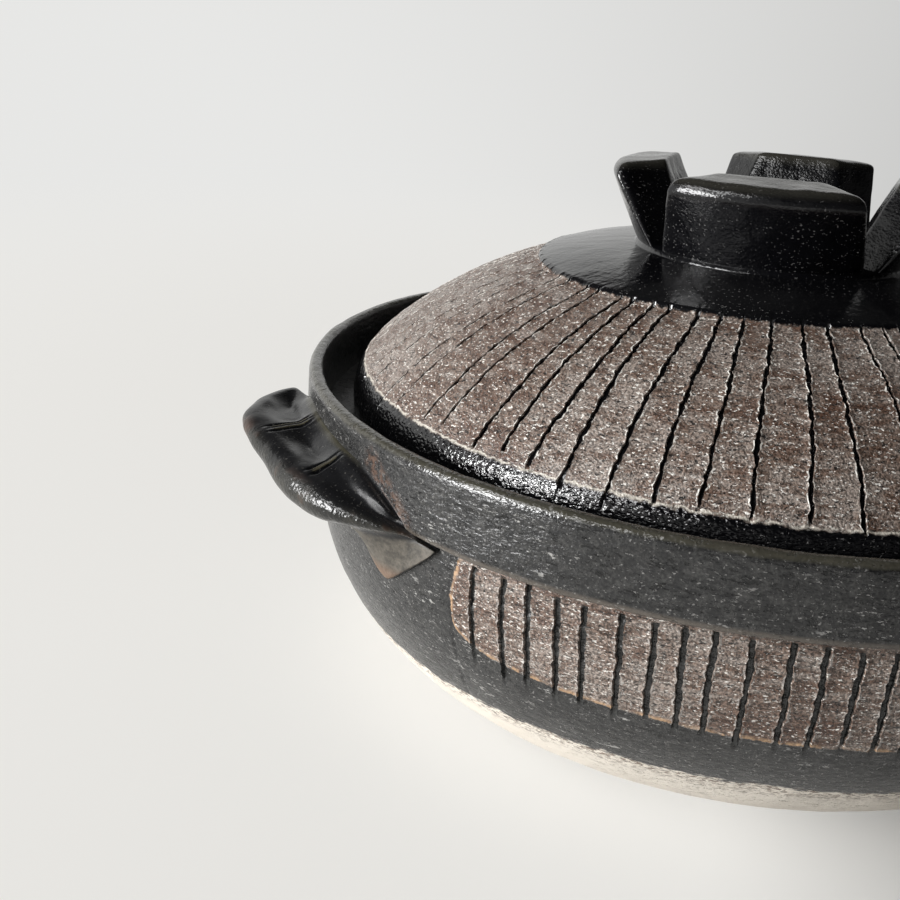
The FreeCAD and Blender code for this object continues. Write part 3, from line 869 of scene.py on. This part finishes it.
def bowlFinish():
    f = Finish("bowlClay", 1.6)
    z = f.axis("Z")
    brown, grain = brownSlip(f)
    black, nicksAndGlints = charcoalGlaze(f)
    panel, carve = f.attribute("panel"), f.attribute("carve")
    ragged = f.maths("MULTIPLY_ADD", f.noise(520, 3, 0.6), 1.5, panel)
    inPanel = f.step(ragged, 0.50, 0.95)
    paleLine = f.times(inPanel, f.step(ragged, 2.1, 1.0), f.step(f.noise(260, 3, 0.6), 0.42, 0.56))
    brownLit = f.blend(paleLine, brown, (0.52, 0.33, 0.19))
    # pale crumbs and painted highlight on the burrs of the carved lines
    brownLit = f.blend(f.times(crumbsAndHighlight(f, carve), 0.7), brownLit, (0.46, 0.43, 0.40))
    grooved = f.step(carve, 0.2, 0.55)
    slip = f.times(inPanel, f.without(grooved))
    # warm break in the glaze beside the ears, brown line under the collar, olive rim
    mirrored = f.vector("ABSOLUTE", f.coords)
    warm = f.fromLine(mirrored, bowlLook["warmStart"], bowlLook["warmEnd"])
    warm = f.step(warm, *bowlLook["warmReach"])
    warm = f.times(warm, f.step(f.noise(430, 4, 0.75), 0.42, 0.60))
    collarLine = f.times(*[f.step(z, *edge) for edge in bowlLook["collarLine"]])
    rimTop = f.step(f.maths("MULTIPLY_ADD", f.noise(300, 2, 0.5), 0.0008, z), *bowlLook["olive"])
    wall = f.blend(f.times(warm, 0.7), black, (0.135, 0.075, 0.049))
    wall = f.blend(f.times(collarLine, 0.6), wall, (0.15, 0.125, 0.10))
    wall = f.blend(f.times(rimTop, 0.7), wall, (0.075, 0.070, 0.052))
    wall = f.blend(grooved, wall, (0.036, 0.037, 0.036))
    hollow = f.attribute("hollow")
    upper = f.blend(hollow, f.blend(slip, wall, brownLit), (0.004, 0.004, 0.004))
    # bare foot, with the black brushed thin over its edge
    brushed = f.maths("MULTIPLY_ADD", f.noise(190, 4, 0.65, f.stretched(1, 1, 5)), bowlLook["brushed"], z)
    bare = f.times(f.step(brushed, *bowlLook["bare"]), f.without(hollow))
    streaks = f.step(f.noise(560, 3, 0.7, f.stretched(1, 1, 3.5)), 0.50, 0.56)
    streaks = f.times(streaks, f.step(z, *bowlLook["streaks"]))
    flecks = f.most(f.times(streaks, 0.9), f.times(f.step(f.noise(420, 3, 0.7), 0.66, 0.74), 0.4))
    cream = f.blend(flecks, (0.95, 0.88, 0.78), (0.20, 0.14, 0.10))
    colour = f.blend(bare, upper, cream)
    rough = bowlLook["rough"]
    gloss = f.either(bare, f.either(slip, rough["wall"], rough["slip"]), rough["bare"])
    gloss = f.either(f.step(z, *bowlLook["glossyRim"]), gloss, rough["rim"])
    gloss = f.either(hollow, gloss, rough["inside"])
    ribs = f.noise(300, 3, 0.6, f.stretched(1, 1, 3))
    peel = f.maths("MULTIPLY_ADD", f.noise(1300, 1, 0.5), 0.35, ribs)
    height = f.maths("MULTIPLY_ADD", nicksAndGlints, 1.2, peel)
    height = f.maths("MULTIPLY_ADD", grain, f.times(inPanel, 0.8), height)
    return f.close(colour, gloss, height)


# the same for the lid, most of it from the axis outwards
lidLook = {
    "ragged": 0.0013,
    "patch": (0.0666, 0.0662),
    "side": (0.1148, 0.1153),
    "rimHighlight": (0.11455, 0.11475),
    "under": (0.0858, 0.0850),   # height
    "rough": {"slip": 0.40, "patch": 0.16, "side": 0.09},
}


def lidFinish():
    f = Finish("lidClay", 1.7)
    z = f.axis("Z")
    brown, grain = brownSlip(f)
    black = blackGlaze(f)
    reach = f.maths("MULTIPLY_ADD", f.noise(420, 3, 0.6), lidLook["ragged"], f.fromAxis())
    patch = f.step(reach, *lidLook["patch"])
    side = f.step(reach, *lidLook["side"])
    under = f.step(z, *lidLook["under"])
    grooved = f.step(f.attribute("carve"), 0.2, 0.55)
    # painted highlight: a pale line along the dome's lower edge where it turns down to the side
    rimHighlight = f.times(f.step(reach, *lidLook["rimHighlight"]), f.without(side))
    rimHighlight = f.times(rimHighlight, f.step(f.noise(230, 3, 0.6), 0.34, 0.46))
    brownLit = f.blend(f.times(rimHighlight, 0.8), brown, (0.74, 0.69, 0.60))
    # pale crumbs and painted highlight on the burrs of the carved lines
    brownLit = f.blend(crumbsAndHighlight(f, f.attribute("carve")), brownLit, (0.80, 0.77, 0.71))
    dark = f.most(patch, side, under, grooved)
    colour = f.blend(dark, brownLit, black)
    rough = lidLook["rough"]
    gloss = f.either(dark, rough["slip"], f.either(side, rough["patch"], rough["side"]))
    pocks = f.noise(560, 1.5, 0.5, f.stretched(1, 1, 1.5))
    coarse = f.noise(900, 1, 0.5, f.stretched(1, 1, 1.5))
    height = f.maths("MULTIPLY_ADD", coarse, f.times(side, 0.9), f.times(pocks, 0.35))
    height = f.maths("MULTIPLY_ADD", grain, f.without(dark), height)
    return f.close(colour, gloss, height)


# heights on the ears
earLook = {
    "bareTail": (0.0725, 0.0695),
    "rustyTail": (0.0575, 0.0530),
    "rough": {"smooth": 0.17, "dull": 0.30, "bare": 0.62},
}


def earFinish():
    f = Finish("earGlaze")
    z = f.axis("Z")
    score, smear = f.attribute("score"), f.attribute("smear")
    lip, tail = f.attribute("lip"), f.attribute("tail")
    broad = f.noise(85, 3, 0.6)
    black = f.blend(f.step(f.noise(1400, 2, 0.6), 0.62, 0.72), (0.009, 0.009, 0.010), (0.07, 0.068, 0.062))
    colour = f.blend(f.times(f.step(score, 0.4, 0.9), 0.45), black, (0.15, 0.132, 0.080))
    colour = f.blend(f.times(smear, 0.8), colour, (0.070, 0.064, 0.040))
    worn = f.ramp(broad, [(0.40, (0.018, 0.018, 0.016)), (0.55, (0.036, 0.034, 0.027)),
                          (0.66, (0.100, 0.056, 0.038))])
    colour = f.blend(f.times(lip, 0.8), colour, worn)
    lower = f.step(f.maths("MULTIPLY_ADD", broad, 0.004, z), *earLook["bareTail"])
    bare = f.times(f.step(tail, 0.3, 0.9), lower)
    clay = f.ramp(f.noise(420, 4, 0.7), [(0.36, (0.050, 0.045, 0.037)), (0.66, (0.140, 0.124, 0.101))])
    clay = f.blend(f.times(f.step(z, *earLook["rustyTail"]), 0.5), clay, (0.30, 0.18, 0.115))
    colour = f.blend(bare, colour, clay)
    rough = earLook["rough"]
    gloss = f.either(f.step(broad, 0.35, 0.65), rough["smooth"], rough["dull"])
    gloss = f.either(bare, gloss, rough["bare"])
    pocks = f.times(f.noise(1000, 1.5, 0.5), f.maths("MULTIPLY_ADD", lip, 0.8, 0.12))
    height = f.maths("MULTIPLY_ADD", f.noise(420, 2, 0.5), f.maths("MULTIPLY_ADD", lip, 0.4, 0.1), pocks)
    height = f.maths("MULTIPLY_ADD", f.noise(500, 3, 0.65), bare, height)
    return f.close(colour, gloss, height)


# height of the lugs' flat tops
knobLook = {"flatTop": (0.1432, 0.1462), "rough": (0.13, 0.22)}


def knobFinish():
    f = Finish("knobGlaze")
    black = blackGlaze(f)
    up = f.step(f.axis("Z"), *knobLook["flatTop"])
    colour = f.blend(f.times(up, 0.6), black, (0.055, 0.052, 0.042))
    pocks = f.times(f.noise(1100, 1.5, 0.5, f.stretched(1, 1, 1.5)), 0.35)
    height = f.maths("MULTIPLY_ADD", f.noise(330, 2, 0.5), 0.25, pocks)
    dull = f.step(f.noise(70, 2, 0.5), 0.35, 0.65)
    gloss = f.either(dull, *knobLook["rough"])
    return f.close(colour, gloss, height)


def dress(piece, finish, body, slot, *nodes):
    piece.data.materials.clear()
    piece.data.materials.append(finish)
    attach(piece, body)
    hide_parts(*nodes)


dress(potBowl, bowlFinish(), "pot", "bowl_clay", "pot_bowl")
earGlaze = earFinish()
dress(earLeft, earGlaze, "pot", "ear_glaze", "ear_handle_left")
dress(earRight, earGlaze, "pot", "ear_glaze", "ear_handle_right")
dress(lidDome, lidFinish(), "lid", "lid_clay", "lid_dome")
knobGlaze = knobFinish()
for number, piece in enumerate(lugs):
    dress(piece, knobGlaze, "lid", "knob_glaze", f"knob_lug_{number + 1}")
print("finishes on")


# floor, light and camera
studio = {
    "floorSize": 60.0,
    "floorColour": (0.64, 0.635, 0.62),
    "floorRough": 0.9,
    "bright": (-0.602, 0.799, 0.0),                  # way to the brightest part of the room
    "farPale": (0.06, 0.80, -0.90, 0.80),            # far floor and air: least, most, and where between
    # painted light: the floor round the pot glows brighter towards the window side and dimmer away from it
    "nearPaintedLight": (0.30, 1.0, -1.05, -0.35),           # the same for the floor round the pot
    "farTint": (1.0, 1.0, 0.985),
    "nearTint": (1.0, 0.985, 0.945),
    "nearShare": 0.65,
    "farFrom": (0.22, 1.1),      # metres from the pot, near floor to far floor
    "paleTop": (0.54, 0.42),     # the pale air ends between these heights
    "ceiling": 0.04,             # air overhead, against 1 near the horizon
    "airLight": 0.35,            # how much of the seen air falls on the pot
    "leastSeen": 0.55,           # the room behind the pot is never darker than this
    "aim": (0, 0, 0.06),
    "window": {"bearing": 180, "rise": 11, "distance": 2.2, "size": (0.9, 0.9), "power": 60},
    "sky": {"bearing": 190, "rise": 41, "distance": 1.8, "size": (1.3, 0.28), "power": 10.5},
    "fill": {"bearing": 57, "rise": 35, "distance": 2.6, "size": (2.2, 1.4), "power": 13,
             "mirrored": False},
}
shot = {
    "place": (-0.1918, -0.2954, 0.1837),
    "heading": -18.53,           # degrees about the upright axis
    "pitch": 69.68,
    "roll": 3.22,
    "lens": 48.02,
    "sensor": 36.0,
}


def paleAround(n, least, most, start, end):
    towards = n.vector("NORMALIZE", n.vector("MULTIPLY", n.coords, (1, 1, 0)))
    share = n.step(n.vector("DOT_PRODUCT", towards, studio["bright"]), start, end)
    return n.maths("MULTIPLY_ADD", share, most - least, least)


def layFloor():
    clearSelection()
    bpy.ops.mesh.primitive_plane_add(size=studio["floorSize"])
    floor = bpy.context.object
    floor.name = "floor"
    f = Finish("floorPaint")
    f.plug(f.shader.inputs["Base Color"], (*studio["floorColour"], 1))
    f.plug(f.shader.inputs["Roughness"], studio["floorRough"])
    # the pale far floor is only for the eye and for reflections, and puts no light on the pot; round the pot
    # the glow is a painted pool of light, bright towards the window side and dim away from it, which the
    # glaze also mirrors
    path = f.add("ShaderNodeLightPath")
    seen = f.most(path.outputs["Is Camera Ray"], path.outputs["Is Glossy Ray"])
    far = f.step(f.fromAxis(), *studio["farFrom"])
    least = f.times(path.outputs["Is Camera Ray"], studio["leastSeen"])
    room = f.most(paleAround(f, *studio["farPale"]), least)
    pale = f.either(far, paleAround(f, *studio["nearPaintedLight"]), room)
    tint = f.blend(far, studio["nearTint"], studio["farTint"])
    glow = f.add("ShaderNodeEmission", {"Color": tint, "Strength": pale})
    share = f.times(seen, f.either(far, studio["nearShare"], 1.0))
    mixed = f.add("ShaderNodeMixShader", {0: share, 1: f.shader.outputs[0], 2: glow.outputs[0]})
    f.plug(f.tree.nodes["Material Output"].inputs["Surface"], mixed.outputs[0])
    floor.data.materials.append(f.material)


def hangLight(name, bearing, rise, distance, size, power, mirrored=True):
    lamp = bpy.data.lights.new(name, "AREA")
    lamp.shape = "RECTANGLE"
    lamp.size, lamp.size_y = size
    lamp.energy = power
    holder = bpy.data.objects.new(name, lamp)
    holder.visible_glossy = mirrored         # whether the glaze mirrors it
    bpy.context.scene.collection.objects.link(holder)
    level = distance * math.cos(math.radians(rise))
    holder.location = (level * math.cos(math.radians(bearing)), level * math.sin(math.radians(bearing)),
                       distance * math.sin(math.radians(rise)))
    aim = Vector(studio["aim"]) - holder.location
    holder.rotation_euler = aim.to_track_quat("-Z", "Y").to_euler()


def setAir():
    world = bpy.data.worlds.new("studioAir")
    bpy.context.scene.world = world
    world.use_nodes = True
    n = Nodes(world.node_tree, "Generated")
    low = n.step(n.axis("Z"), *studio["paleTop"])
    pale = paleAround(n, *studio["farPale"])
    strength = n.times(pale, n.maths("MULTIPLY_ADD", low, 1 - studio["ceiling"], studio["ceiling"]))
    path = n.add("ShaderNodeLightPath")
    seen = n.most(path.outputs["Is Camera Ray"], path.outputs["Is Glossy Ray"])
    strength = n.times(strength, n.either(seen, studio["airLight"], 1.0))
    strength = n.most(strength, n.times(path.outputs["Is Camera Ray"], studio["leastSeen"]))
    air = world.node_tree.nodes["Background"]
    n.plug(air.inputs["Color"], (*studio["farTint"], 1))
    n.plug(air.inputs["Strength"], strength)


def setCamera():
    lens = bpy.data.cameras.new("camera")
    lens.lens = shot["lens"]
    lens.sensor_width = shot["sensor"]
    lens.clip_start = 0.01
    holder = bpy.data.objects.new("camera", lens)
    bpy.context.scene.collection.objects.link(holder)
    turn = (Matrix.Rotation(math.radians(shot["heading"]), 4, "Z")
            @ Matrix.Rotation(math.radians(shot["pitch"]), 4, "X")
            @ Matrix.Rotation(math.radians(shot["roll"]), 4, "Z"))
    holder.matrix_world = Matrix.Translation(shot["place"]) @ turn
    bpy.context.scene.camera = holder


layFloor()
hangLight("windowLight", **studio["window"])
hangLight("skyLight", **studio["sky"])
hangLight("fillLight", **studio["fill"])
setAir()
setCamera()
bpy.context.scene.view_settings.view_transform = "Standard"
print("studio set")

bpy.context.view_layer.update()
